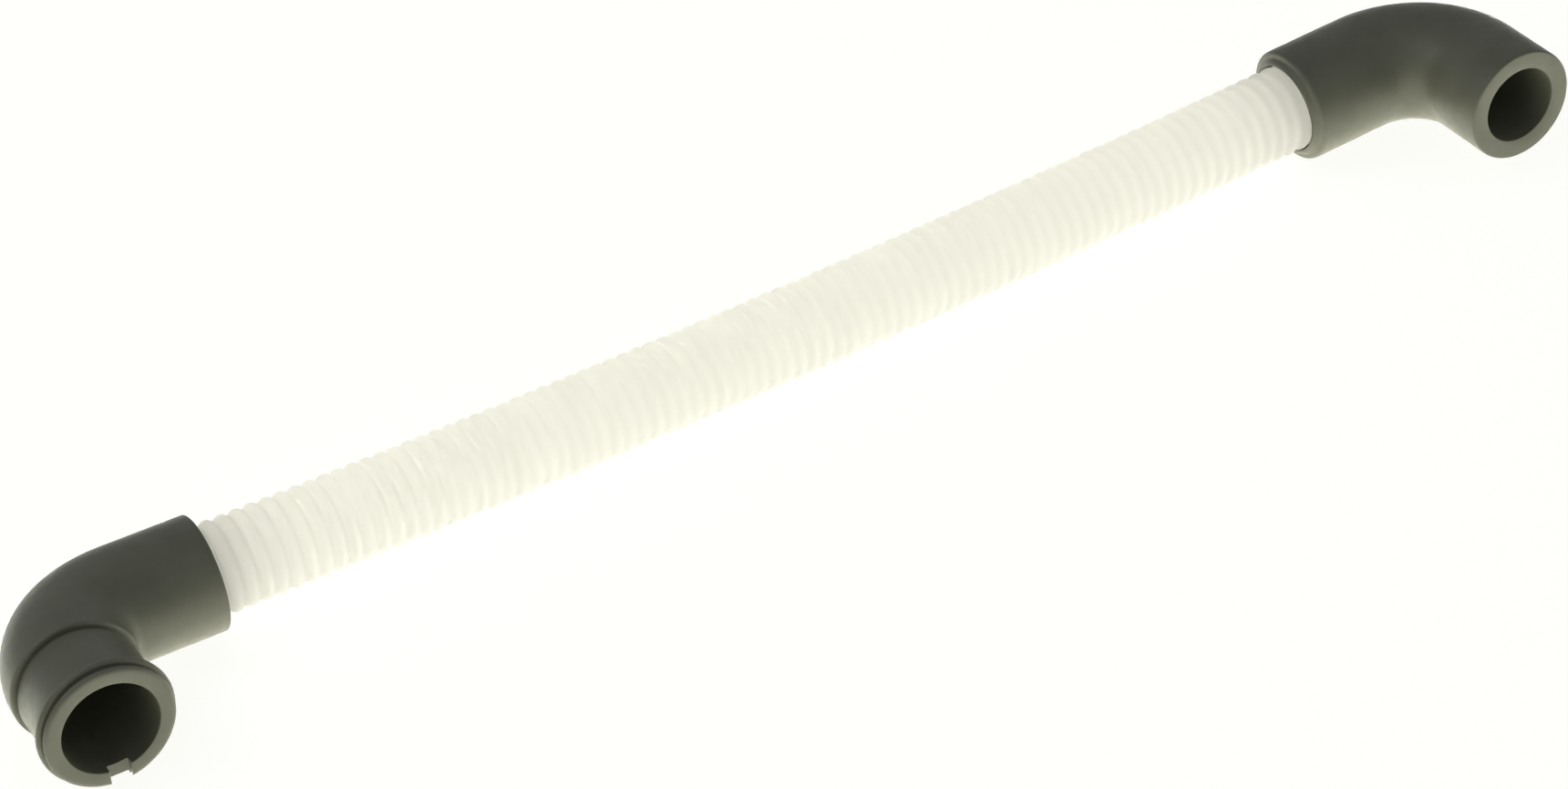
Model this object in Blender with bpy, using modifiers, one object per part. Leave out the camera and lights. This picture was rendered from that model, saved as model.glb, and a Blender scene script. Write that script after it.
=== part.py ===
"""Pump hose of a washing machine: a ribbed plastic hose between two rubber elbows.

The hose lies along X and sags a little between the elbows, whose outlets both point to -Y.
The origin is under the middle of the whole part, on the surface that it lies on.
"""

import math

import bmesh
import bpy
from mathutils import Vector

MM = 0.001

# Corrugated hose
HOSE_OUTER_RADIUS = 12.5 * MM
HOSE_WALL = 0.8 * MM
RIB_DEPTH = 1.3 * MM
RIB_PITCH = 4.02 * MM
VISIBLE_RIBS = 84
SOCKET_RIBS = 4
HOSE_SAG = 3.6 * MM
HOSE_SIDES = 14

# Fit of the hose in both elbows
SOCKET_CLEARANCE = 0.3 * MM
HOSE_END_GAP = 0.5 * MM
SHOULDER_SLOPE = 0.6 * MM
EDGE_CHAMFER = 0.5 * MM

# Keyed elbow, whose neck takes a clamp behind a flange, with a lip and a key notch at the mouth
KEYED_CUFF_WALL = 2.9 * MM
KEYED_CUFF_RUN = 6.3 * MM
KEYED_INNER_CORNER = 3.8 * MM
KEYED_MOUTH_RADIUS = 12.9 * MM
NECK_WALL = 3.4 * MM
NECK_LENGTH = 17.0 * MM
BODY_STEP = 1.1 * MM
BODY_RUN = 0.8 * MM
GROOVE_DEPTH = 0.6 * MM
GROOVE_WIDTH = 1.3 * MM
FLANGE_HEIGHT = 1.9 * MM
FLANGE_WIDTH = 2.1 * MM
FLANGE_SLOPE = 0.5 * MM
LIP_GAP = 1.2 * MM
LIP_HEIGHT = 1.0 * MM
LIP_WIDTH = 1.3 * MM
LIP_SLOPE = 0.3 * MM
LIP_CHAMFER = 0.8 * MM
NOTCH_WIDTH = 5.8 * MM
NOTCH_DEPTH = 2.6 * MM
NOTCH_SHIFT = 0.35 * MM
NOTCH_FLOOR = 0.1 * MM

# Plain elbow, a thick tube with a flat round mouth
PLAIN_CUFF_WALL = 3.6 * MM
PLAIN_CUFF_RUN = 9.7 * MM
PLAIN_INNER_CORNER = 7.0 * MM
PLAIN_MOUTH_RADIUS = 11.2 * MM
PLAIN_MOUTH_WALL = 5.5 * MM
PLAIN_OUTLET_RUN = 18.3 * MM

# Fineness of the elbows
ELBOW_SIDES = 24
BEND_STEPS = 8
CUT_MARGIN = 2.0 * MM
WELD_DISTANCE = 0.001 * MM
SHARP_ANGLE = math.radians(35)

# Sizes that follow from those above
VISIBLE_LENGTH = VISIBLE_RIBS * RIB_PITCH
HOSE_LENGTH = (VISIBLE_RIBS + 2 * SOCKET_RIBS) * RIB_PITCH
BOW_RADIUS = VISIBLE_LENGTH ** 2 / (8 * HOSE_SAG)
END_SLOPE = VISIBLE_LENGTH / (2 * BOW_RADIUS)
BORE_RADIUS = HOSE_OUTER_RADIUS - RIB_DEPTH - HOSE_WALL
SOCKET_RADIUS = (HOSE_OUTER_RADIUS + SOCKET_CLEARANCE) / math.cos(math.pi / ELBOW_SIDES)
SOCKET_DEPTH = SOCKET_RIBS * RIB_PITCH + HOSE_END_GAP
KEYED_CUFF_RADIUS = SOCKET_RADIUS + KEYED_CUFF_WALL
NECK_RADIUS = KEYED_MOUTH_RADIUS + NECK_WALL
BODY_RADIUS = NECK_RADIUS + BODY_STEP
FLANGE_RADIUS = NECK_RADIUS + FLANGE_HEIGHT
LIP_RADIUS = NECK_RADIUS + LIP_HEIGHT
PLAIN_CUFF_RADIUS = SOCKET_RADIUS + PLAIN_CUFF_WALL
PLAIN_OUTLET_RADIUS = PLAIN_MOUTH_RADIUS + PLAIN_MOUTH_WALL


class ElbowLine:
    """Centreline of an elbow: straight from the cuff's edge, a quarter turn, straight to the mouth."""

    def __init__(self, side, cuff_run, bend_radius, outlet_run):
        self.side = side
        self.cuff_run = cuff_run
        self.bend_radius = bend_radius
        self.bend_end = cuff_run + bend_radius * math.pi / 2
        self.length = self.bend_end + outlet_run

    def place(self, distance):
        """Point at this distance from the cuff's edge, in the elbow's own frame."""
        if distance <= self.cuff_run:
            return Vector((self.side * distance, 0, 0))
        if distance >= self.bend_end:
            down = self.bend_radius + distance - self.bend_end
            return Vector((self.side * (self.cuff_run + self.bend_radius), -down, 0))
        angle = (distance - self.cuff_run) / self.bend_radius
        along = self.cuff_run + self.bend_radius * math.sin(angle)
        return Vector((self.side * along, -self.bend_radius * (1 - math.cos(angle)), 0))

    def bend_stations(self, first_radius, last_radius):
        """Stations round the bend, as distances with a radius that changes evenly."""
        stations = []
        for step in range(BEND_STEPS + 1):
            share = step / BEND_STEPS
            distance = self.cuff_run + share * (self.bend_end - self.cuff_run)
            stations.append((distance, first_radius + share * (last_radius - first_radius)))
        return stations


def clear_scene():
    for obj in list(bpy.data.objects):
        bpy.data.objects.remove(obj, do_unlink=True)


def new_collection(name):
    collection = bpy.data.collections.new(name)
    bpy.context.scene.collection.children.link(collection)
    return collection


def new_material(name, colour, roughness):
    material = bpy.data.materials.new(name)
    material.use_nodes = True
    shader = material.node_tree.nodes["Principled BSDF"]
    shader.inputs["Base Color"].default_value = (*colour, 1)
    shader.inputs["Roughness"].default_value = roughness
    shader.inputs["Metallic"].default_value = 0
    return material


def new_object(name, data, collection, parent):
    obj = bpy.data.objects.new(name, data)
    collection.objects.link(obj)
    obj.parent = parent
    return obj


def hose_profile():
    """Closed outline of the hose's wall at +X, down its outer side and up its inner side."""
    outer = []
    for half_rib in range(2 * (VISIBLE_RIBS + 2 * SOCKET_RIBS) + 1):
        height = HOSE_LENGTH / 2 - half_rib * RIB_PITCH / 2
        is_crest = half_rib % 2 == 1
        outer.append((HOSE_OUTER_RADIUS if is_crest else HOSE_OUTER_RADIUS - RIB_DEPTH, height))
    inner = [(radius - HOSE_WALL, height) for radius, height in reversed(outer)]
    return [Vector((radius, 0, height)) for radius, height in outer + inner]


def build_hose(collection, parent, material):
    """The hose is turned about its own Z, bowed, and laid along X."""
    points = hose_profile()
    edges = [(index, (index + 1) % len(points)) for index in range(len(points))]
    mesh = bpy.data.meshes.new("corrugated_hose")
    mesh.from_pydata(points, edges, [])
    mesh.materials.append(material)
    hose = new_object("corrugated_hose", mesh, collection, parent)
    hose.rotation_euler = (0, math.pi / 2, 0)

    turn = hose.modifiers.new("Turn", "SCREW")
    turn.axis = "Z"
    turn.steps = HOSE_SIDES
    turn.render_steps = HOSE_SIDES
    turn.use_merge_vertices = True
    turn.merge_threshold = WELD_DISTANCE
    turn.use_smooth_shade = True

    bow = hose.modifiers.new("Sag", "SIMPLE_DEFORM")
    bow.deform_method = "BEND"
    bow.deform_axis = "Y"
    bow.angle = -HOSE_LENGTH / BOW_RADIUS
    return hose


def swept_solid(name, line, stations, collection, parent):
    """Round solid along the elbow's centreline, with its own radius at each station."""
    curve = bpy.data.curves.new(name, "CURVE")
    curve.dimensions = "3D"
    # Each point's radius multiplies this depth of one metre, so it is the true radius there
    curve.bevel_depth = 1
    # A round bevel has twice as many sides as its resolution plus two
    curve.bevel_resolution = ELBOW_SIDES // 2 - 2
    curve.render_resolution_u = 0
    curve.use_fill_caps = True
    spline = curve.splines.new("POLY")
    spline.points.add(len(stations) - 1)
    for point, (distance, radius) in zip(spline.points, stations):
        point.co = (*line.place(distance), 1)
        point.radius = radius
    guide = new_object(name, curve, collection, parent)
    bpy.context.view_layer.update()

    evaluated = guide.evaluated_get(bpy.context.evaluated_depsgraph_get())
    mesh = bpy.data.meshes.new_from_object(evaluated)
    placed = guide.matrix_world.copy()
    bpy.data.objects.remove(guide, do_unlink=True)

    shell = bmesh.new()
    shell.from_mesh(mesh)
    bmesh.ops.remove_doubles(shell, verts=shell.verts, dist=WELD_DISTANCE)
    bmesh.ops.recalc_face_normals(shell, faces=shell.faces)
    shell.to_mesh(mesh)
    shell.free()
    mesh.shade_smooth()
    mesh.set_sharp_from_angle(angle=SHARP_ANGLE)
    solid = new_object(name, mesh, collection, parent)
    solid.matrix_world = placed
    return solid


def as_cutter(solid):
    solid.hide_render = True
    solid.display_type = "WIRE"
    return solid


def cut(solid, cutter):
    difference = solid.modifiers.new("Cut " + cutter.name, "BOOLEAN")
    difference.operation = "DIFFERENCE"
    difference.object = cutter


def bore_stations(line, mouth_radius):
    """Hose socket, then a water way that widens round the bend to the mouth, run out past both ends."""
    stations = [
        (-CUT_MARGIN, SOCKET_RADIUS),
        (SOCKET_DEPTH, SOCKET_RADIUS),
        (SOCKET_DEPTH + SHOULDER_SLOPE, BORE_RADIUS),
    ]
    stations += line.bend_stations(BORE_RADIUS, mouth_radius)
    stations += [(line.length + CUT_MARGIN, mouth_radius)]
    return stations


def seat_at_hose_end(elbow, side):
    """Puts the cuff's edge on the sagging hose, in line with it there."""
    along = BOW_RADIUS * math.sin(END_SLOPE)
    rise = BOW_RADIUS * (1 - math.cos(END_SLOPE))
    elbow.location = (side * along, 0, rise)
    elbow.rotation_euler = (0, -side * END_SLOPE, 0)


def build_keyed_elbow(parts, cutters, parent, material):
    """Elbow at -X, with the clamp's neck, the flange, the lip in front of it and the notch at their underside."""
    outlet_run = LIP_WIDTH + LIP_GAP + FLANGE_WIDTH + NECK_LENGTH + BODY_RUN
    line = ElbowLine(-1, SOCKET_DEPTH + KEYED_CUFF_RUN, BODY_RADIUS + KEYED_INNER_CORNER, outlet_run)
    mouth = line.length
    lip_start = mouth - LIP_WIDTH
    flange_end = lip_start - LIP_GAP
    flange_start = flange_end - FLANGE_WIDTH
    neck_start = flange_start - NECK_LENGTH
    stations = [(0, KEYED_CUFF_RADIUS - EDGE_CHAMFER), (EDGE_CHAMFER, KEYED_CUFF_RADIUS)]
    stations += line.bend_stations(KEYED_CUFF_RADIUS, BODY_RADIUS)
    stations += [
        (neck_start - GROOVE_DEPTH, BODY_RADIUS),
        (neck_start, NECK_RADIUS - GROOVE_DEPTH),
        (neck_start + GROOVE_WIDTH, NECK_RADIUS - GROOVE_DEPTH),
        (neck_start + GROOVE_WIDTH + GROOVE_DEPTH, NECK_RADIUS),
        (flange_start, NECK_RADIUS),
        (flange_start + FLANGE_SLOPE, FLANGE_RADIUS),
        (flange_end - FLANGE_SLOPE, FLANGE_RADIUS),
        (flange_end, NECK_RADIUS),
        (lip_start, NECK_RADIUS),
        (lip_start + LIP_SLOPE, LIP_RADIUS),
        (mouth - LIP_CHAMFER, LIP_RADIUS),
        (mouth, LIP_RADIUS - LIP_CHAMFER),
    ]
    elbow = swept_solid("keyed_elbow", line, stations, parts, parent)
    elbow.data.materials.append(material)

    hollow = bore_stations(line, KEYED_MOUTH_RADIUS)
    bore = as_cutter(swept_solid("keyed_elbow_bore", line, hollow, cutters, elbow))
    cut(elbow, bore)
    cut(elbow, notch_cutter(line, cutters, elbow))
    seat_at_hose_end(elbow, -1)
    return elbow


def notch_cutter(line, collection, parent):
    """Block through the lower wall of the mouth, and below the neck through the whole flange as well."""
    floor = -(NECK_RADIUS + NOTCH_FLOOR)
    bottom = -(FLANGE_RADIUS + CUT_MARGIN)
    flange_back = LIP_WIDTH + LIP_GAP + FLANGE_WIDTH + CUT_MARGIN
    outline = [
        (-CUT_MARGIN, 0),
        (-CUT_MARGIN, bottom),
        (flange_back, bottom),
        (flange_back, floor),
        (NOTCH_DEPTH, floor),
        (NOTCH_DEPTH, 0),
    ]
    count = len(outline)
    points = [(side * NOTCH_WIDTH / 2, along, height) for side in (-1, 1) for along, height in outline]
    faces = [list(range(count)), list(range(2 * count - 1, count - 1, -1))]
    for first in range(count):
        second = (first + 1) % count
        faces.append((first, count + first, count + second, second))
    mesh = bpy.data.meshes.new("notch")
    mesh.from_pydata(points, [], faces)
    block = bmesh.new()
    block.from_mesh(mesh)
    bmesh.ops.recalc_face_normals(block, faces=block.faces)
    block.to_mesh(mesh)
    block.free()
    notch = as_cutter(new_object("notch", mesh, collection, parent))
    mouth = line.place(line.length)
    notch.location = (mouth.x + NOTCH_SHIFT, mouth.y, mouth.z)
    return notch


def build_plain_elbow(parts, cutters, parent, material):
    """Elbow at +X, a thick tube of one smooth outline with a flat round mouth."""
    bend_radius = max(PLAIN_CUFF_RADIUS, PLAIN_OUTLET_RADIUS) + PLAIN_INNER_CORNER
    line = ElbowLine(1, SOCKET_DEPTH + PLAIN_CUFF_RUN, bend_radius, PLAIN_OUTLET_RUN)
    stations = [(0, PLAIN_CUFF_RADIUS - EDGE_CHAMFER), (EDGE_CHAMFER, PLAIN_CUFF_RADIUS)]
    stations += line.bend_stations(PLAIN_CUFF_RADIUS, PLAIN_OUTLET_RADIUS)
    stations += [
        (line.length - EDGE_CHAMFER, PLAIN_OUTLET_RADIUS),
        (line.length, PLAIN_OUTLET_RADIUS - EDGE_CHAMFER),
    ]
    elbow = swept_solid("plain_elbow", line, stations, parts, parent)
    elbow.data.materials.append(material)

    hollow = bore_stations(line, PLAIN_MOUTH_RADIUS)
    bore = as_cutter(swept_solid("plain_elbow_bore", line, hollow, cutters, elbow))
    cut(elbow, bore)
    seat_at_hose_end(elbow, 1)
    return elbow


def lay_on_surface(origin, solids):
    """Moves the whole part so that it lies on z = 0, with the middle of its box over the origin."""
    bpy.context.view_layer.update()
    graph = bpy.context.evaluated_depsgraph_get()
    corners = []
    for solid in solids:
        evaluated = solid.evaluated_get(graph)
        placed = solid.matrix_world
        corners += [placed @ vertex.co for vertex in evaluated.data.vertices]
    low = [min(corner[axis] for corner in corners) for axis in range(3)]
    high = [max(corner[axis] for corner in corners) for axis in range(3)]
    origin.location = (-(low[0] + high[0]) / 2, -(low[1] + high[1]) / 2, -low[2])
    bpy.context.view_layer.update()


def main():
    clear_scene()
    parts = new_collection("pump_hose")
    cutters = new_collection("cutters")
    origin = new_object("pump_hose_origin", None, parts, None)
    milky_plastic = new_material("milky plastic", (0.80, 0.80, 0.72), 0.45)
    grey_rubber = new_material("dark grey rubber", (0.075, 0.080, 0.070), 0.65)
    hose = build_hose(parts, origin, milky_plastic)
    keyed = build_keyed_elbow(parts, cutters, origin, grey_rubber)
    plain = build_plain_elbow(parts, cutters, origin, grey_rubber)
    lay_on_surface(origin, [hose, keyed, plain])


main()
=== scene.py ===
# %% [markdown]
# # Pump hose of a washing machine
#
# The object is a ribbed hose of milky plastic between two moulded rubber elbows. It lies on a light table
# and is seen from the front and above, and most of its light comes from below, so the rubber is darkest on
# top.
#
# The imported model comes first. It holds the true sizes and places in metres.

import math

import bpy
from mathutils import Matrix, Vector


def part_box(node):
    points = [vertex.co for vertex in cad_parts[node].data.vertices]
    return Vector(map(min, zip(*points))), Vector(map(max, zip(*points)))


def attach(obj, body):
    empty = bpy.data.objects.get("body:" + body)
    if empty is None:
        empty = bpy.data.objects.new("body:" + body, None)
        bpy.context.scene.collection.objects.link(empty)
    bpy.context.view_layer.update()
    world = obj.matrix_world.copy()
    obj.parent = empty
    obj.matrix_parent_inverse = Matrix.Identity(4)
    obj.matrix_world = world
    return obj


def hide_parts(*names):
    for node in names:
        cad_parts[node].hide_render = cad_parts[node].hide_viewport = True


MM = 0.001
# Places that are this close count as one place
NEARLY = 0.01 * MM

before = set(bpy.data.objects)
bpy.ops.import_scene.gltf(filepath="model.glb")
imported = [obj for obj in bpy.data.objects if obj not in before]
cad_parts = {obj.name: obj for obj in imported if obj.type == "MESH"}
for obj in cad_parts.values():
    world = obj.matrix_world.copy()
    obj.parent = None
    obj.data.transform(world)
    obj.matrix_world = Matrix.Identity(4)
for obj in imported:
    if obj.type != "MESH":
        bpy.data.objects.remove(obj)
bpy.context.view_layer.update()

# %% [markdown]
# ## Camera
#
# The photograph was taken from the front left and above with a long lens, and the camera was rolled a
# little, so the hose climbs from the lower left to the upper right. The place, the roll and the lens come
# from fitting the rib spacing, the four rims and the outlines of the elbows. A long lens far away is used
# and not a wide one close by, because both ends of the hose are nearly the same size in the picture.

# %% Camera
CAMERA_AIM = Vector((-6.506, 3.595, 1.983)) * MM
CAMERA_DISTANCE = 1111.455 * MM
CAMERA_AZIMUTH = math.radians(-26.252)
CAMERA_ELEVATION = math.radians(36.77)
CAMERA_ROLL = math.radians(7.152)
CAMERA_LENS = 94.89
CAMERA_SENSOR = 36

away = Vector((
    math.sin(CAMERA_AZIMUTH) * math.cos(CAMERA_ELEVATION),
    -math.cos(CAMERA_AZIMUTH) * math.cos(CAMERA_ELEVATION),
    math.sin(CAMERA_ELEVATION),
))
bpy.ops.object.camera_add()
camera = bpy.context.object
camera.name = "camera"
camera.data.sensor_width = CAMERA_SENSOR
camera.data.lens = CAMERA_LENS
turned = (-away).to_track_quat("-Z", "Y").to_matrix() @ Matrix.Rotation(-CAMERA_ROLL, 3, "Z")
camera.rotation_euler = turned.to_euler()
camera.location = CAMERA_AIM + away * CAMERA_DISTANCE
bpy.context.scene.camera = camera
print("camera at", [round(value, 3) for value in camera.location])

# %% [markdown]
# ## Driving sizes
#
# A real hose of this kind is sold by its outside diameter and its length, and the elbows by the spigots
# that they go over. Those few sizes are named here, and the walls, the sockets and the bends are worked out
# from them.

# %% Sizes of the hose
HOSE_RADIUS = 12.5 * MM
HOSE_WALL = 0.8 * MM
RIB_DEPTH = 0.95 * MM
RIB_PITCH = 4.02 * MM
VISIBLE_RIBS = 84
SOCKET_RIBS = 4
HOSE_SAG = 3.6 * MM

visible_length = VISIBLE_RIBS * RIB_PITCH
hose_length = (VISIBLE_RIBS + 2 * SOCKET_RIBS) * RIB_PITCH
bow_radius = visible_length ** 2 / (8 * HOSE_SAG)
end_slope = visible_length / (2 * bow_radius)

hose_low, hose_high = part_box("corrugated_hose")
hose_middle = (hose_low + hose_high) / 2
hose_middle.z = hose_low.z + HOSE_RADIUS
print("hose:", round(hose_length / MM, 1), "mm long, middle at", [round(v / MM, 2) for v in hose_middle])


def hose_point(distance):
    """Point on the hose's middle line, at this distance from its lowest place."""
    angle = distance / bow_radius
    rise = bow_radius * (1 - math.cos(angle))
    return hose_middle + Vector((bow_radius * math.sin(angle), 0, rise))


# %% Sizes of the elbows
SOCKET_PLAY = 0.3 * MM
SOCKET_END_PLAY = 0.5 * MM
SOCKET_RADIUS = HOSE_RADIUS + SOCKET_PLAY
SOCKET_DEPTH = SOCKET_RIBS * RIB_PITCH + SOCKET_END_PLAY
SHOULDER_SLOPE = 0.6 * MM
BORE_RADIUS = 10.4 * MM
KEYED_CUFF_RADIUS = 15.81 * MM
KEYED_MOUTH_RADIUS = 12.9 * MM
NECK_RADIUS = 16.3 * MM
NECK_LENGTH = 17.0 * MM
BODY_RADIUS = 17.4 * MM
BODY_RUN = 0.8 * MM
FLANGE_RADIUS = 18.16 * MM
FLANGE_WIDTH = 2.1 * MM
LIP_GAP = 1.2 * MM
LIP_RADIUS = 17.3 * MM
LIP_WIDTH = 1.3 * MM
PLAIN_CUFF_RADIUS = 16.51 * MM
PLAIN_MOUTH_RADIUS = 11.2 * MM
PLAIN_OUTLET_RADIUS = 16.68 * MM
ELBOW_SIDES = 96
ELBOW_SMOOTHING = math.radians(30)
print("walls in mm:", round((KEYED_CUFF_RADIUS - SOCKET_RADIUS) / MM, 2), "and",
      round((PLAIN_CUFF_RADIUS - SOCKET_RADIUS) / MM, 2))

# %% [markdown]
# ## Modelling by hand, in code
#
# An operator works on whatever is selected, so each step starts with nothing selected. A ring of points is
# added and extruded, and each new ring is then moved, turned and sized, as with the G, R and S keys. The
# turn takes its centre as a number, because a script has no 3-D cursor in a window to turn about.

# %% Helpers for rings
# A ring whose size changes by less than this share is left as it is
LEAST_CHANGE = 1e-9
MERGE_WITHIN = 0.002 * MM


def start_ring(name, sides, radius, turned_by):
    """Adds a circle of points and leaves it selected in edit mode."""
    bpy.ops.object.select_all(action="DESELECT")
    bpy.ops.mesh.primitive_circle_add(vertices=sides, radius=radius, rotation=turned_by)
    ring = bpy.context.object
    ring.name = name
    ring.data.name = name
    bpy.ops.object.transform_apply(location=True, rotation=True, scale=True)
    bpy.ops.object.mode_set(mode="EDIT")
    bpy.ops.mesh.select_mode(type="EDGE")
    bpy.ops.mesh.select_all(action="SELECT")
    return ring


def next_ring(step, scale, turn, centre):
    """Extrudes the selected ring by a step, then turns and sizes the new ring about its own centre."""
    bpy.ops.mesh.extrude_region_move(TRANSFORM_OT_translate={"value": step})
    if turn:
        bpy.ops.transform.rotate(value=-turn, orient_axis="Z", center_override=centre)
    if abs(scale - 1) > LEAST_CHANGE:
        bpy.ops.transform.resize(value=(scale, scale, scale), center_override=centre)


def select_only(piece, kind, is_chosen):
    """Goes into edit mode with only the faces or edges selected that pass a test."""
    bpy.ops.object.mode_set(mode="EDIT")
    bpy.ops.mesh.select_mode(type=kind)
    bpy.ops.mesh.select_all(action="DESELECT")
    bpy.ops.object.mode_set(mode="OBJECT")
    for part in piece.data.polygons if kind == "FACE" else piece.data.edges:
        part.select = is_chosen(part)
    bpy.ops.object.mode_set(mode="EDIT")


def close_piece(piece, smoothing):
    """Merges the points that meet, turns every face outwards and smooths what isn't a corner."""
    bpy.ops.mesh.select_all(action="SELECT")
    bpy.ops.mesh.remove_doubles(threshold=MERGE_WITHIN)
    bpy.ops.mesh.normals_make_consistent(inside=False)
    bpy.ops.object.mode_set(mode="OBJECT")
    bpy.ops.object.shade_smooth_by_angle(angle=smoothing)
    print(piece.name, "has", len(piece.data.polygons), "faces")


# %% [markdown]
# ## The ribbed hose
#
# The real hose is blown from a thin milky tube into a travelling ribbed mould, so every rib is the same: a
# round crest between two round valleys. It could be a screw of a drawn profile, but one rib is modelled
# here and then repeated, because that is how the mould makes it, and a change to the rib changes the whole
# hose.

# %% One rib
HOSE_SIDES = 48
HOSE_SMOOTHING = math.radians(60)
# Each pair is a place along the rib and the height there, both as shares, from valley to crest
RIB_RISE = [(0, 0), (0.09, 0.07), (0.18, 0.3), (0.28, 0.66), (0.39, 0.93), (0.5, 1)]

rib = RIB_RISE + [(1 - along, height) for along, height in reversed(RIB_RISE[:-1])]
rib_rings = [(along * RIB_PITCH, HOSE_RADIUS - RIB_DEPTH * (1 - height)) for along, height in rib]
hose = start_ring("ribbed_hose", HOSE_SIDES, rib_rings[0][1], (0, 0, 0))
for (here, radius), (there, next_radius) in zip(rib_rings, rib_rings[1:]):
    next_ring((0, 0, there - here), next_radius / radius, 0, (0, 0, there))
bpy.ops.object.mode_set(mode="OBJECT")

# How deep in a valley each point is, from 0 on the crest to 1 at the bottom; the milky finish paints shade
# into the valleys by it
valley = hose.data.attributes.new("valley", "FLOAT", "POINT")
for point in hose.data.vertices:
    radius = math.hypot(point.co.x, point.co.y)
    valley.data[point.index].value = (HOSE_RADIUS - radius) / RIB_DEPTH
print("one rib has", len(hose.data.polygons), "faces in", len(rib_rings) - 1, "rows")

# %% [markdown]
# The rib is copied along the hose, and the copies are merged into one skin. The wall gets its thickness
# inwards from that skin, so the outside keeps its size. The hose is soft enough to sag between the elbows,
# and a bend over its whole length gives it that even curve. It is modelled upright and laid along X at the
# end.
#
# Near both ends the real ribs stand a little further out than an even spacing gives, as if the hose had
# been pulled there when it was pushed into the elbows. So the skin is pulled outwards before it gets its
# wall.

# %% Copy the rib and pull the ends
# Each pair is a distance from the hose's middle and how far the rib there is pulled outwards
PULL = [
    (0, 0),
    (120 * MM, 0),
    (140 * MM, 0.5 * MM),
    (155 * MM, 1.1 * MM),
    (visible_length / 2, 1.7 * MM),
    (hose_length / 2, 0),
]


def pulled(along):
    """Where a point at this distance from the middle ends up."""
    reach = min(abs(along), PULL[-1][0])
    for (start, first), (end, last) in zip(PULL, PULL[1:]):
        if reach <= end:
            moved = reach + first + (last - first) * (reach - start) / (end - start)
            return math.copysign(moved, along)


copies = hose.modifiers.new("Ribs", "ARRAY")
copies.count = VISIBLE_RIBS + 2 * SOCKET_RIBS
copies.use_relative_offset = False
copies.use_constant_offset = True
copies.constant_offset_displace = (0, 0, RIB_PITCH)
copies.use_merge_vertices = True
copies.merge_threshold = NEARLY
bpy.ops.object.modifier_apply(modifier=copies.name)

bpy.ops.object.mode_set(mode="EDIT")
bpy.ops.mesh.select_all(action="SELECT")
bpy.ops.transform.translate(value=(0, 0, -hose_length / 2))
bpy.ops.mesh.normals_make_consistent(inside=False)
bpy.ops.object.mode_set(mode="OBJECT")
for point in hose.data.vertices:
    point.co.z = pulled(point.co.z)
print("ribs along the hose:", VISIBLE_RIBS + 2 * SOCKET_RIBS)

# %% Give the wall its thickness and let the hose sag
bpy.ops.object.shade_smooth_by_angle(angle=HOSE_SMOOTHING)

wall = hose.modifiers.new("Wall", "SOLIDIFY")
wall.thickness = HOSE_WALL
wall.offset = -1
bpy.ops.object.modifier_apply(modifier=wall.name)

sag = hose.modifiers.new("Sag", "SIMPLE_DEFORM")
sag.deform_method = "BEND"
sag.deform_axis = "Y"
sag.angle = -hose_length / bow_radius
bpy.ops.object.modifier_apply(modifier=sag.name)

hose.rotation_euler = (0, math.pi / 2, 0)
hose.location = hose_middle
bpy.ops.object.transform_apply(location=True, rotation=True, scale=True)
print("hose:", len(hose.data.polygons), "faces")
print("size in mm:", [round(side / MM, 2) for side in hose.dimensions])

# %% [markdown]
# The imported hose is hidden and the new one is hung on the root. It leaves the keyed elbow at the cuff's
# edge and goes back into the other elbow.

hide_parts("corrugated_hose")
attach(hose, "root")

# %% [markdown]
# ## The elbows
#
# Both elbows are moulded in one piece over a core, so an outer skin and an inner skin follow the same
# middle line: straight from the cuff, a quarter turn, and straight to the mouth. Each could be a curve with
# a bevel, but then every ring would need the same wall. Here one ring is extruded station by station, out
# along the outside, over the rim of the mouth and back through the bore, until it meets itself at the cuff.

# %% Stations along an elbow
BEND_STEPS = 24


def middle_line(side, cuff_run, bend_radius):
    """Gives a function from the distance along the elbow to the place and the heading there."""

    def at(distance):
        angle = min(max((distance - cuff_run) / bend_radius, 0), math.pi / 2)
        before = min(distance, cuff_run)
        after = max(distance - cuff_run - bend_radius * math.pi / 2, 0)
        along = before + bend_radius * math.sin(angle)
        down = bend_radius * (1 - math.cos(angle)) + after
        return Vector((side * along, -down, 0)), -side * angle

    return at


def round_edge(distance, radius, size, first, last, steps=4, height=None):
    """Stations round a small arc about this distance and radius, between two angles in degrees."""
    height = height or size
    arc = []
    for step in range(steps + 1):
        angle = math.radians(first + (last - first) * step / steps)
        arc.append((distance + size * math.cos(angle), radius + height * math.sin(angle)))
    return arc


def round_bend(start, end, first_radius, last_radius):
    """Stations round the quarter turn, with a radius that changes softly from one to the other."""
    stations = []
    for step in range(BEND_STEPS + 1):
        share = step / BEND_STEPS
        soft = share * share * (3 - 2 * share)
        stations.append((start + share * (end - start), first_radius + soft * (last_radius - first_radius)))
    return stations


def walk(name, line, stations):
    """Extrudes one ring from station to station along the elbow and closes it on itself."""
    elbow = start_ring(name, ELBOW_SIDES, stations[0][1], (0, math.pi / 2, 0))
    for (here, radius), (there, next_radius) in zip(stations, stations[1:]):
        place, heading = line(here)
        next_place, next_heading = line(there)
        next_ring(next_place - place, next_radius / radius, next_heading - heading, next_place)
    close_piece(elbow, ELBOW_SMOOTHING)
    return elbow


# %% [markdown]
# The bore is the same kind of hollow in both elbows. At the mouth it is wide enough for a spigot, round the
# bend it narrows evenly, so that the core could be drawn out, and a small shoulder leads to the hose's
# socket.

# %% The hollow of an elbow
EDGE_ROUNDING = 0.3 * MM


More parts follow.
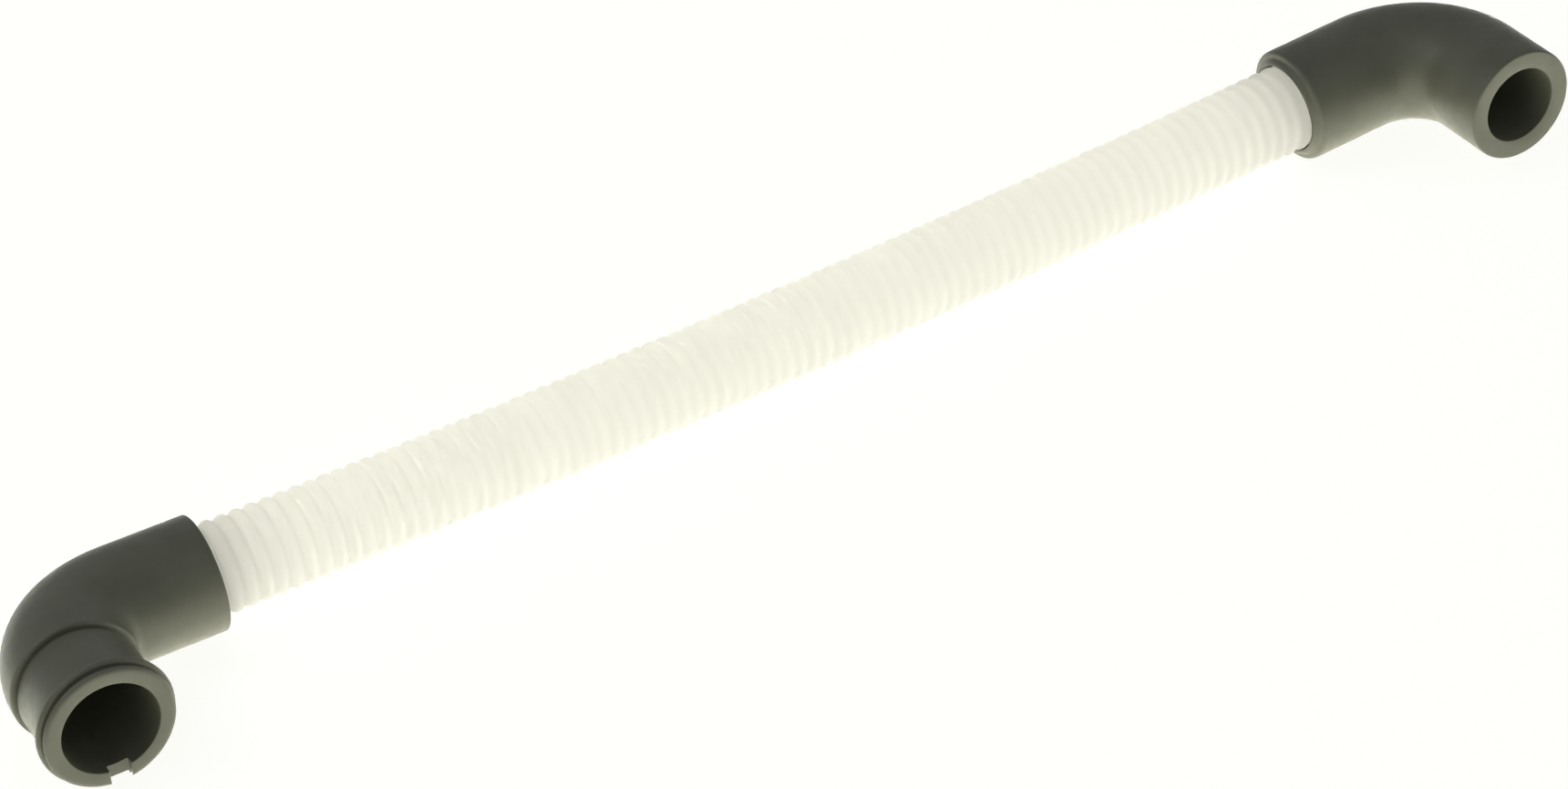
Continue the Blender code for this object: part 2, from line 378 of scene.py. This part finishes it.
def hollow(mouth, mouth_radius, bend_start, bend_end, cuff_start=0):
    """Stations from the mouth's face back through the bore to the cuff's end face."""
    stations = round_edge(mouth - EDGE_ROUNDING, mouth_radius + EDGE_ROUNDING, EDGE_ROUNDING, 0, -90)
    stations += round_bend(bend_end, bend_start, mouth_radius, BORE_RADIUS)
    stations += [(SOCKET_DEPTH + SHOULDER_SLOPE, BORE_RADIUS), (SOCKET_DEPTH, SOCKET_RADIUS)]
    rim_radius = SOCKET_RADIUS + EDGE_ROUNDING
    stations += round_edge(cuff_start + EDGE_ROUNDING, rim_radius, EDGE_ROUNDING, -90, -180)
    return stations


def seat(elbow, side):
    """Puts the cuff's edge round the hose, in line with it there, and leaves the elbow's origin at zero."""
    elbow.rotation_euler = (0, -side * end_slope, 0)
    elbow.location = hose_point(side * visible_length / 2)
    bpy.ops.object.transform_apply(location=True, rotation=True, scale=True)


# %% [markdown]
# The keyed elbow goes on the pump. Its body stops at a step with a groove, then comes the neck for the hose
# clamp, then a flange that keeps the clamp from sliding off, and a thin lip in front of it. Soft rubber
# never leaves a mould with sharp edges, and it is those round edges that catch the light, so each gets its
# own radius.

# %% Stations of the keyed elbow
KEYED_RUN = 6.3 * MM
KEYED_CUFF_EDGE = 0.45 * MM
KEYED_INNER_CORNER = 3.8 * MM
BODY_EDGE = 0.75 * MM
GROOVE_DEPTH = 0.6 * MM
GROOVE_WIDTH = 0.7 * MM
GROOVE_SLOPE = 1.1 * MM
FLANGE_FOOT = 0.3 * MM
FLANGE_EDGE = 0.9 * MM
GAP_ROUNDING = 0.5 * MM
LIP_BACK_EDGE = 0.35 * MM
LIP_EDGE = 0.95 * MM
LIP_CROWN = 1.5 * MM
LIP_STEPS = 6

keyed_bend = BODY_RADIUS + KEYED_INNER_CORNER
keyed_start = SOCKET_DEPTH + KEYED_RUN
keyed_end = keyed_start + keyed_bend * math.pi / 2
neck_start = keyed_end + BODY_RUN
flange_start = neck_start + NECK_LENGTH
flange_end = flange_start + FLANGE_WIDTH
lip_start = flange_end + LIP_GAP
keyed_mouth = lip_start + LIP_WIDTH
groove_floor = NECK_RADIUS - GROOVE_DEPTH
print("from the step to the mouth:", round((keyed_mouth - neck_start) / MM, 2), "mm")

# %% The keyed elbow
outside = round_edge(KEYED_CUFF_EDGE, KEYED_CUFF_RADIUS - KEYED_CUFF_EDGE, KEYED_CUFF_EDGE, 180, 90)
outside += round_bend(keyed_start, keyed_end, KEYED_CUFF_RADIUS, BODY_RADIUS)
outside += round_edge(neck_start - BODY_EDGE, BODY_RADIUS - BODY_EDGE, BODY_EDGE, 90, 0)
outside += [(neck_start, groove_floor), (neck_start + GROOVE_WIDTH, groove_floor)]
outside += [(neck_start + GROOVE_WIDTH + GROOVE_SLOPE, NECK_RADIUS)]
outside += round_edge(flange_start - FLANGE_FOOT, NECK_RADIUS + FLANGE_FOOT, FLANGE_FOOT, -90, 0)
outside += round_edge(flange_start + FLANGE_EDGE, FLANGE_RADIUS - FLANGE_EDGE, FLANGE_EDGE, 180, 90)
outside += round_edge(flange_end - FLANGE_EDGE, FLANGE_RADIUS - FLANGE_EDGE, FLANGE_EDGE, 90, 0)
outside += round_edge(flange_end + GAP_ROUNDING, NECK_RADIUS + GAP_ROUNDING, GAP_ROUNDING, 180, 270)
outside += round_edge(lip_start - GAP_ROUNDING, NECK_RADIUS + GAP_ROUNDING, GAP_ROUNDING, -90, 0)
outside += round_edge(lip_start + LIP_BACK_EDGE, LIP_RADIUS - LIP_BACK_EDGE, LIP_BACK_EDGE, 180, 90)
outside += round_edge(keyed_mouth - LIP_EDGE, LIP_RADIUS - LIP_CROWN, LIP_EDGE, 90, 0, LIP_STEPS, LIP_CROWN)
inside = hollow(keyed_mouth, KEYED_MOUTH_RADIUS, keyed_start, keyed_end)
keyed_line = middle_line(-1, keyed_start, keyed_bend)
keyed_elbow = walk("keyed_elbow_rubber", keyed_line, outside + inside + outside[:1])

# %% [markdown]
# The notch at the underside takes a key on the pump's spigot, so that the hose can only be pushed on one
# way round. A block with round inner corners, which flares a little at the mouth, is cut out of the rubber.
# Below the neck it goes on through the whole flange. The same block would stand up in the mould.

# %% Sizes of the key notch
NOTCH_WIDTH = 5.8 * MM
NOTCH_DEPTH = 2.6 * MM
NOTCH_SHIFT = 0.35 * MM
NOTCH_FLARE = 0.3 * MM
NOTCH_CORNER = 0.6 * MM
NOTCH_CORNER_STEPS = 4
NOTCH_FLOOR = 0.1 * MM
NOTCH_MARGIN = 2.0 * MM
# A face of the block looks along Y where its normal has more than this of that way
ALONG_Y = 0.5

mouth_place = keyed_line(keyed_mouth)[0]
notch_height = FLANGE_RADIUS + NOTCH_MARGIN
notch_length = NOTCH_DEPTH - NOTCH_FLARE
notch_place = mouth_place + Vector((NOTCH_SHIFT, NOTCH_FLARE + notch_length / 2, -notch_height / 2))
notch_floor = mouth_place.z - NECK_RADIUS - NOTCH_FLOOR
flange_reach = keyed_mouth - flange_start - NOTCH_DEPTH + NOTCH_MARGIN
print("the notch reaches", round(NOTCH_DEPTH / MM, 2), "mm behind the mouth")

# %% The block of the key notch
bpy.ops.object.select_all(action="DESELECT")
bpy.ops.mesh.primitive_cube_add(size=1, location=notch_place)
notch = bpy.context.object
notch.name = "notch_block"
notch.scale = (NOTCH_WIDTH, notch_length, notch_height)
bpy.ops.object.transform_apply(location=True, rotation=True, scale=True)
bpy.ops.object.mode_set(mode="EDIT")
bpy.ops.mesh.select_all(action="SELECT")
bpy.ops.mesh.bisect(plane_co=(0, 0, notch_floor), plane_no=(0, 0, 1))
select_only(notch, "FACE", lambda face: face.normal.y > ALONG_Y and face.center.z < notch_floor)
bpy.ops.mesh.extrude_region_move(TRANSFORM_OT_translate={"value": (0, flange_reach, 0)})
select_only(notch, "FACE", lambda face: face.normal.y < -ALONG_Y)
bpy.ops.mesh.extrude_region_move(TRANSFORM_OT_translate={"value": (0, -NOTCH_FLARE, 0)})
wider = (NOTCH_WIDTH + 2 * NOTCH_FLARE) / NOTCH_WIDTH
bpy.ops.transform.resize(value=(wider, 1, 1), center_override=mouth_place + Vector((NOTCH_SHIFT, 0, 0)))
bpy.ops.mesh.extrude_region_move(TRANSFORM_OT_translate={"value": (0, -NOTCH_MARGIN, 0)})
bpy.ops.object.mode_set(mode="OBJECT")
print("the block has", len(notch.data.polygons), "faces before its corners are round")

# %% Round the inner corners of the block


def is_inner_corner(edge):
    """Whether an edge of the block stands upright at its back."""
    first, second = (notch.data.vertices[index].co for index in edge.vertices)
    is_back = abs(first.y - mouth_place.y - NOTCH_DEPTH) < NEARLY
    return is_back and abs(first.z - second.z) > notch_height / 2


select_only(notch, "EDGE", is_inner_corner)
bpy.ops.mesh.bevel(offset=NOTCH_CORNER, segments=NOTCH_CORNER_STEPS, affect="EDGES")
bpy.ops.object.mode_set(mode="OBJECT")
print("the notch block has", len(notch.data.polygons), "faces")

# %% Cut the notch
bpy.ops.object.select_all(action="DESELECT")
keyed_elbow.select_set(True)
bpy.context.view_layer.objects.active = keyed_elbow
notch_cut = keyed_elbow.modifiers.new("Notch", "BOOLEAN")
notch_cut.operation = "DIFFERENCE"
notch_cut.solver = "EXACT"
notch_cut.object = notch
bpy.ops.object.modifier_apply(modifier=notch_cut.name)
bpy.data.objects.remove(notch, do_unlink=True)
bpy.ops.object.shade_smooth_by_angle(angle=ELBOW_SMOOTHING)
print("after the notch the keyed elbow has", len(keyed_elbow.data.polygons), "faces")

seat(keyed_elbow, -1)
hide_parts("keyed_elbow")
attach(keyed_elbow, "root")

# %% [markdown]
# The plain elbow goes on the tub. It is one thick tube with a wider bend and a flat round mouth. Its cuff
# ends in a soft rolled rim: a round lip that hugs the hose, a shallow valley, and a bead where the tube's
# outside begins.

# %% Stations of the plain elbow
PLAIN_RUN = 9.7 * MM
PLAIN_INNER_CORNER = 7.0 * MM
PLAIN_OUTLET_RUN = 18.3 * MM
PLAIN_RIM_EDGE = 0.7 * MM
LIP_REACH = 0.9 * MM
# Each pair is a distance behind the lip in millimetres and a share of the wall, from the lip out to the bead
ROLLED_RIM = [
    (0, 0.10), (0.03, 0.18), (0.12, 0.25), (0.35, 0.33), (0.7, 0.41),
    (1.02, 0.48), (1.2, 0.54), (1.26, 0.62), (1.3, 0.70), (1.36, 0.79),
    (1.5, 0.875), (1.8, 0.945), (2.2, 0.98), (2.6, 0.995), (3.1, 1),
]

plain_bend = PLAIN_OUTLET_RADIUS + PLAIN_INNER_CORNER
plain_start = SOCKET_DEPTH + PLAIN_RUN
plain_end = plain_start + plain_bend * math.pi / 2
plain_mouth = plain_end + PLAIN_OUTLET_RUN
plain_wall = PLAIN_CUFF_RADIUS - SOCKET_RADIUS
print("from the lip to the mouth:", round((plain_mouth + LIP_REACH) / MM, 2), "mm along the middle")

# %% The plain elbow
outside = [(behind * MM - LIP_REACH, SOCKET_RADIUS + share * plain_wall) for behind, share in ROLLED_RIM]
outside += round_bend(plain_start, plain_end, PLAIN_CUFF_RADIUS, PLAIN_OUTLET_RADIUS)
face_edge = PLAIN_OUTLET_RADIUS - PLAIN_RIM_EDGE
outside += round_edge(plain_mouth - PLAIN_RIM_EDGE, face_edge, PLAIN_RIM_EDGE, 90, 0)
inside = hollow(plain_mouth, PLAIN_MOUTH_RADIUS, plain_start, plain_end, -LIP_REACH)
plain_line = middle_line(1, plain_start, plain_bend)
plain_elbow = walk("plain_elbow_rubber", plain_line, outside + inside + outside[:1])
seat(plain_elbow, 1)
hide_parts("plain_elbow")
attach(plain_elbow, "root")

# %% [markdown]
# ## Finishes
#
# A finish is a small net of nodes that reads the piece's own coordinates, so it needs no picture and stays
# on the piece from every side. Each of the middle four helpers adds one node and gives it its settings.

# %% Helpers for finishes


def new_finish(name):
    """A material with its main shader and its output, and the place of the surface in metres."""
    finish = bpy.data.materials.new(name)
    finish.use_nodes = True
    nodes = finish.node_tree.nodes
    place = nodes.new("ShaderNodeTexCoord").outputs["Object"]
    return finish, nodes["Principled BSDF"], place


def noise(finish, place, size, detail):
    """Soft random values from 0 to 1, in spots of about this size in metres."""
    spots = finish.node_tree.nodes.new("ShaderNodeTexNoise")
    spots.inputs["Scale"].default_value = 1 / size
    spots.inputs["Detail"].default_value = detail
    finish.node_tree.links.new(place, spots.inputs["Vector"])
    return spots.outputs["Fac"]


def between(finish, value, low, high, from_low=0.35, from_high=0.65):
    """Stretches a value to lie between two numbers. Noise hardly leaves the span that is given here."""
    spread = finish.node_tree.nodes.new("ShaderNodeMapRange")
    spread.inputs["From Min"].default_value = from_low
    spread.inputs["From Max"].default_value = from_high
    spread.inputs["To Min"].default_value = low
    spread.inputs["To Max"].default_value = high
    finish.node_tree.links.new(value, spread.inputs["Value"])
    return spread.outputs["Result"]


def two_colours(finish, value, low, high):
    """Goes from one colour to another as the value goes from 0 to 1."""
    mix = finish.node_tree.nodes.new("ShaderNodeMix")
    mix.data_type = "RGBA"
    colour_inputs = [socket for socket in mix.inputs if socket.type == "RGBA"]
    colour_inputs[0].default_value = (*low, 1)
    colour_inputs[1].default_value = (*high, 1)
    finish.node_tree.links.new(value, mix.inputs["Factor"])
    return [socket for socket in mix.outputs if socket.type == "RGBA"][0]


def bumps(finish, height, depth, strength):
    """Tilts the surface as bumps of this depth in metres would."""
    bump = finish.node_tree.nodes.new("ShaderNodeBump")
    bump.inputs["Distance"].default_value = depth
    bump.inputs["Strength"].default_value = strength
    finish.node_tree.links.new(height, bump.inputs["Height"])
    return bump.outputs["Normal"]


def put_on(finish, pieces):
    """Gives the pieces this finish and no other."""
    for piece in pieces:
        piece.data.materials.clear()
        piece.data.materials.append(finish)
        print(finish.name, "on", piece.name)


# %% [markdown]
# The rubber is a dark olive grey. It comes matt from the mould, with a faint cloudy bloom on it and a very
# fine grain, and it shines softly where light grazes it. A flat grey would look like paint, so the colour,
# the roughness and the grain each get their own noise, at the size that each has on real rubber.

# %% Grey rubber
RUBBER_DARK = (0.106, 0.110, 0.078)
RUBBER_BLOOM = (0.126, 0.130, 0.094)
BLOOM_SPOTS = 14 * MM
# The lowest and the highest roughness, of the rubber and of the milky plastic
SATIN = (0.46, 0.56)
RUBBER_DULL_SPOTS = 2.5 * MM
GRAIN_SPOTS = 0.35 * MM
GRAIN_HEIGHT = 0.03 * MM
GRAIN_STRENGTH = 0.5

rubber, shader, place = new_finish("grey moulded rubber")
links = rubber.node_tree.links
bloom = between(rubber, noise(rubber, place, BLOOM_SPOTS, 3), 0, 1)
links.new(two_colours(rubber, bloom, RUBBER_DARK, RUBBER_BLOOM), shader.inputs["Base Color"])
dull = between(rubber, noise(rubber, place, RUBBER_DULL_SPOTS, 4), *SATIN)
links.new(dull, shader.inputs["Roughness"])
grain = bumps(rubber, noise(rubber, place, GRAIN_SPOTS, 3), GRAIN_HEIGHT, GRAIN_STRENGTH)
links.new(grain, shader.inputs["Normal"])
put_on(rubber, [keyed_elbow, plain_elbow])

# %% [markdown]
# The hose is polyethylene with nothing but a little white in it. Light goes into the thin wall, scatters and
# comes out on the other side, so the hose glows where it lies on the light table. A wall that passes most of
# its light on and turns a little back gives that, where a plain white would look like paint. The valleys
# between the ribs are painted a little darker than the crests, as painted shade that brings out the rings of
# the ribs.

# %% Colour of the milky plastic, with painted shade in the valleys
MILKY_CREST = ((0.979, 0.977, 0.963), (0.984, 0.982, 0.969))
VALLEY_SHADE = 0.948
CLOUD_SPOTS = 9 * MM
MILKY_DULL_SPOTS = 1.5 * MM
POLYETHYLENE_IOR = 1.5


def on_vectors(finish, operation, first, second=None, scale=None):
    """One step of arithmetic on directions or colours, with a second one or with a scale."""
    step = finish.node_tree.nodes.new("ShaderNodeVectorMath")
    step.operation = operation
    finish.node_tree.links.new(first, step.inputs[0])
    if second is not None:
        finish.node_tree.links.new(second, step.inputs[1])
    if scale is not None:
        finish.node_tree.links.new(scale, step.inputs["Scale"])
    return step.outputs["Value"] if operation == "DOT_PRODUCT" else step.outputs["Vector"]


milky, shader, place = new_finish("milky plastic")
nodes = milky.node_tree.nodes
links = milky.node_tree.links
cloud = between(milky, noise(milky, place, CLOUD_SPOTS, 2), 0, 1)
crest_colour = two_colours(milky, cloud, *MILKY_CREST)
in_valley = nodes.new("ShaderNodeAttribute")
in_valley.attribute_name = "valley"
# Painted shade: the valleys between the ribs are coloured darker than the crests
shade = between(milky, in_valley.outputs["Fac"], 1, VALLEY_SHADE, 0, 1)
milky_colour_and_painted_shade = on_vectors(milky, "SCALE", crest_colour, scale=shade)
links.new(milky_colour_and_painted_shade, shader.inputs["Base Color"])
dull = between(milky, noise(milky, place, MILKY_DULL_SPOTS, 3), *SATIN)
links.new(dull, shader.inputs["Roughness"])
shader.inputs["IOR"].default_value = POLYETHYLENE_IOR
print("valleys are", round(100 * (1 - VALLEY_SHADE), 1), "percent darker than crests")

# %% [markdown]
# Light that has spread inside the wall comes out evenly, and the small ribs hardly shade it. So the shader
# for the light that passes through looks mostly straight out from the hose's middle line. Only the light
# that the surface itself turns back is shaded by the ribs in full.
#
# The way straight out is worked out once for each point and kept on the mesh. It is then turned to the side
# that the light is seen from, so that it holds on both faces of the wall.

# %% The way straight out of the hose
straight_out = hose.data.attributes.new("straight_out", "FLOAT_VECTOR", "POINT")
for point in hose.data.vertices:
    way = point.co - hose_point(point.co.x - hose_middle.x)
    straight_out.data[point.index].vector = way.normalized()
print("the way out is known at", len(hose.data.vertices), "points of the hose")

# %% Even light out of the wall
EVEN_SHARE = 0.8

way_out = nodes.new("ShaderNodeAttribute")
way_out.attribute_name = "straight_out"
surface = nodes.new("ShaderNodeNewGeometry")
facing = on_vectors(milky, "DOT_PRODUCT", way_out.outputs["Vector"], surface.outputs["Normal"])
seen_side = nodes.new("ShaderNodeMath")
seen_side.operation = "SIGN"
links.new(facing, seen_side.inputs[0])
even = on_vectors(milky, "SCALE", way_out.outputs["Vector"], scale=seen_side.outputs["Value"])
evened = nodes.new("ShaderNodeMix")
evened.data_type = "VECTOR"
evened.inputs["Factor"].default_value = EVEN_SHARE
directions = [socket for socket in evened.inputs if socket.type == "VECTOR" and socket.name in ("A", "B")]
links.new(surface.outputs["Normal"], directions[0])
links.new(even, directions[1])
evened_direction = [socket for socket in evened.outputs if socket.type == "VECTOR"][0]
way_of_light = on_vectors(milky, "NORMALIZE", evened_direction)
print("share of the way straight out:", EVEN_SHARE)

# %% The wall that light passes through
MILKY_THROUGH = 0.86

through = nodes.new("ShaderNodeBsdfTranslucent")
links.new(milky_colour_and_painted_shade, through.inputs["Color"])
links.new(way_of_light, through.inputs["Normal"])
wall_mix = nodes.new("ShaderNodeMixShader")
wall_mix.inputs["Fac"].default_value = MILKY_THROUGH
links.new(shader.outputs["BSDF"], wall_mix.inputs[1])
links.new(through.outputs["BSDF"], wall_mix.inputs[2])
links.new(wall_mix.outputs["Shader"], nodes["Material Output"].inputs["Surface"])
put_on(milky, [hose])

# %% [markdown]
# ## The light table
#
# The object lies on a pale sheet that is lit from below. The sheet is the floor of the scene. It shows as a
# warm white to the camera and in reflections, and it still takes the object's own faint shadow, because it
# is a matt surface as well. It throws no shadow itself, so the lamp under it shines through.

# %% Floor
FLOOR_SIDE = 12

bpy.ops.object.select_all(action="DESELECT")
bpy.ops.mesh.primitive_plane_add(size=FLOOR_SIDE)
floor = bpy.context.object
floor.name = "floor"
floor.visible_shadow = False
print("floor:", FLOOR_SIDE, "m wide")

# %% The sheet of the light table
FLOOR_WHITE = (1.0, 1.0, 0.965)
FLOOR_GLOW = 0.92
FLOOR_PALE = (0.2, 0.2, 0.195)


def either(finish, first, second):
    """The higher one of two values, so 1 where either of two yes or no values is 1."""
    higher = finish.node_tree.nodes.new("ShaderNodeMath")
    higher.operation = "MAXIMUM"
    finish.node_tree.links.new(first, higher.inputs[0])
    finish.node_tree.links.new(second, higher.inputs[1])
    return higher.outputs["Value"]


sheet = bpy.data.materials.new("pale sheet")
sheet.use_nodes = True
nodes = sheet.node_tree.nodes
links = sheet.node_tree.links
nodes.clear()
path = nodes.new("ShaderNodeLightPath")
seen = either(sheet, path.outputs["Is Camera Ray"], path.outputs["Is Glossy Ray"])
seen = either(sheet, seen, path.outputs["Is Transmission Ray"])
glow = nodes.new("ShaderNodeEmission")
glow.inputs["Color"].default_value = (*FLOOR_WHITE, 1)
links.new(between(sheet, seen, 0, FLOOR_GLOW, 0, 1), glow.inputs["Strength"])
matt = nodes.new("ShaderNodeBsdfDiffuse")
matt.inputs["Color"].default_value = (*FLOOR_PALE, 1)
both = nodes.new("ShaderNodeAddShader")
links.new(glow.outputs["Emission"], both.inputs[0])
links.new(matt.outputs["BSDF"], both.inputs[1])
output = nodes.new("ShaderNodeOutputMaterial")
links.new(both.outputs["Shader"], output.inputs["Surface"])
put_on(sheet, [floor])

# %% [markdown]
# The room above a light table is dim, so the tops of the elbows and the inside of the mouths stay dark. The
# room is drawn as a ramp of greys from straight down to straight up, and only the camera sees it as white.

# %% Light of the room
# Each pair is a height, from 0 straight down to 1 straight up, and how bright the room is there
ROOM_LEVELS = [(0.49, 0.0), (0.51, 0.39), (0.75, 0.32), (1.0, 0.29)]
ROOM_BLUE = 1.03

world = bpy.data.worlds.new("room")
bpy.context.scene.world = world
world.use_nodes = True
nodes = world.node_tree.nodes
links = world.node_tree.links
nodes.clear()
direction = nodes.new("ShaderNodeTexCoord")
height = nodes.new("ShaderNodeSeparateXYZ")
links.new(direction.outputs["Generated"], height.inputs["Vector"])
levels = nodes.new("ShaderNodeValToRGB")
links.new(between(world, height.outputs["Z"], 0, 1, -1, 1), levels.inputs["Fac"])
ramp = levels.color_ramp
while len(ramp.elements) < len(ROOM_LEVELS):
    ramp.elements.new(0.5)
for stop, (at, level) in zip(ramp.elements, ROOM_LEVELS):
    stop.position = at
    stop.color = (level, level, level * ROOM_BLUE, 1)
ambient = nodes.new("ShaderNodeBackground")
links.new(levels.outputs["Color"], ambient.inputs["Color"])
print("room levels:", len(ramp.elements))

# %% White room for the camera
backdrop = nodes.new("ShaderNodeBackground")
backdrop.inputs["Color"].default_value = (*FLOOR_WHITE, 1)
path = nodes.new("ShaderNodeLightPath")
blend = nodes.new("ShaderNodeMixShader")
links.new(path.outputs["Is Camera Ray"], blend.inputs["Fac"])
links.new(ambient.outputs["Background"], blend.inputs[1])
links.new(backdrop.outputs["Background"], blend.inputs[2])
output = nodes.new("ShaderNodeOutputWorld")
links.new(blend.outputs["Shader"], output.inputs["Surface"])
print("the camera sees the room as", FLOOR_WHITE)

# %% [markdown]
# One wide lamp under the sheet gives the table its warm light, which the sheet lets through. A small soft
# lamp high on the left puts the faint shine on the round edges and on the saddle of the plain elbow.

# %% Lamps
# Each lamp has its name, its place and its two sides in metres, its watts and its colour
LAMPS = [
    ("lamp_under_the_sheet", (0, 0, -0.25), (2.2, 2.2), 25, (1.0, 0.98, 0.81)),
    ("lamp_on_the_left", (-0.75, 0.25, 0.95), (0.6, 0.5), 2.1, (1.0, 1.0, 0.97)),
]
LAMP_AIM = Vector((0, 0, 0))

for name, place, sides, watts, colour in LAMPS:
    bpy.ops.object.select_all(action="DESELECT")
    bpy.ops.object.light_add(type="AREA", location=place)
    lamp = bpy.context.object
    lamp.name = name
    lamp.data.shape = "RECTANGLE"
    lamp.data.size, lamp.data.size_y = sides
    lamp.data.energy = watts
    lamp.data.color = colour
    lamp.data.cycles.use_multiple_importance_sampling = False
    lamp.rotation_euler = (LAMP_AIM - Vector(place)).to_track_quat("-Z", "Y").to_euler()
    print(lamp.name, watts, "W")

# %% [markdown]
# ## Colours on screen
#
# The colours are shown as they are, with no film look over them.

# %% Colours as they are
bpy.context.scene.view_settings.view_transform = "Standard"
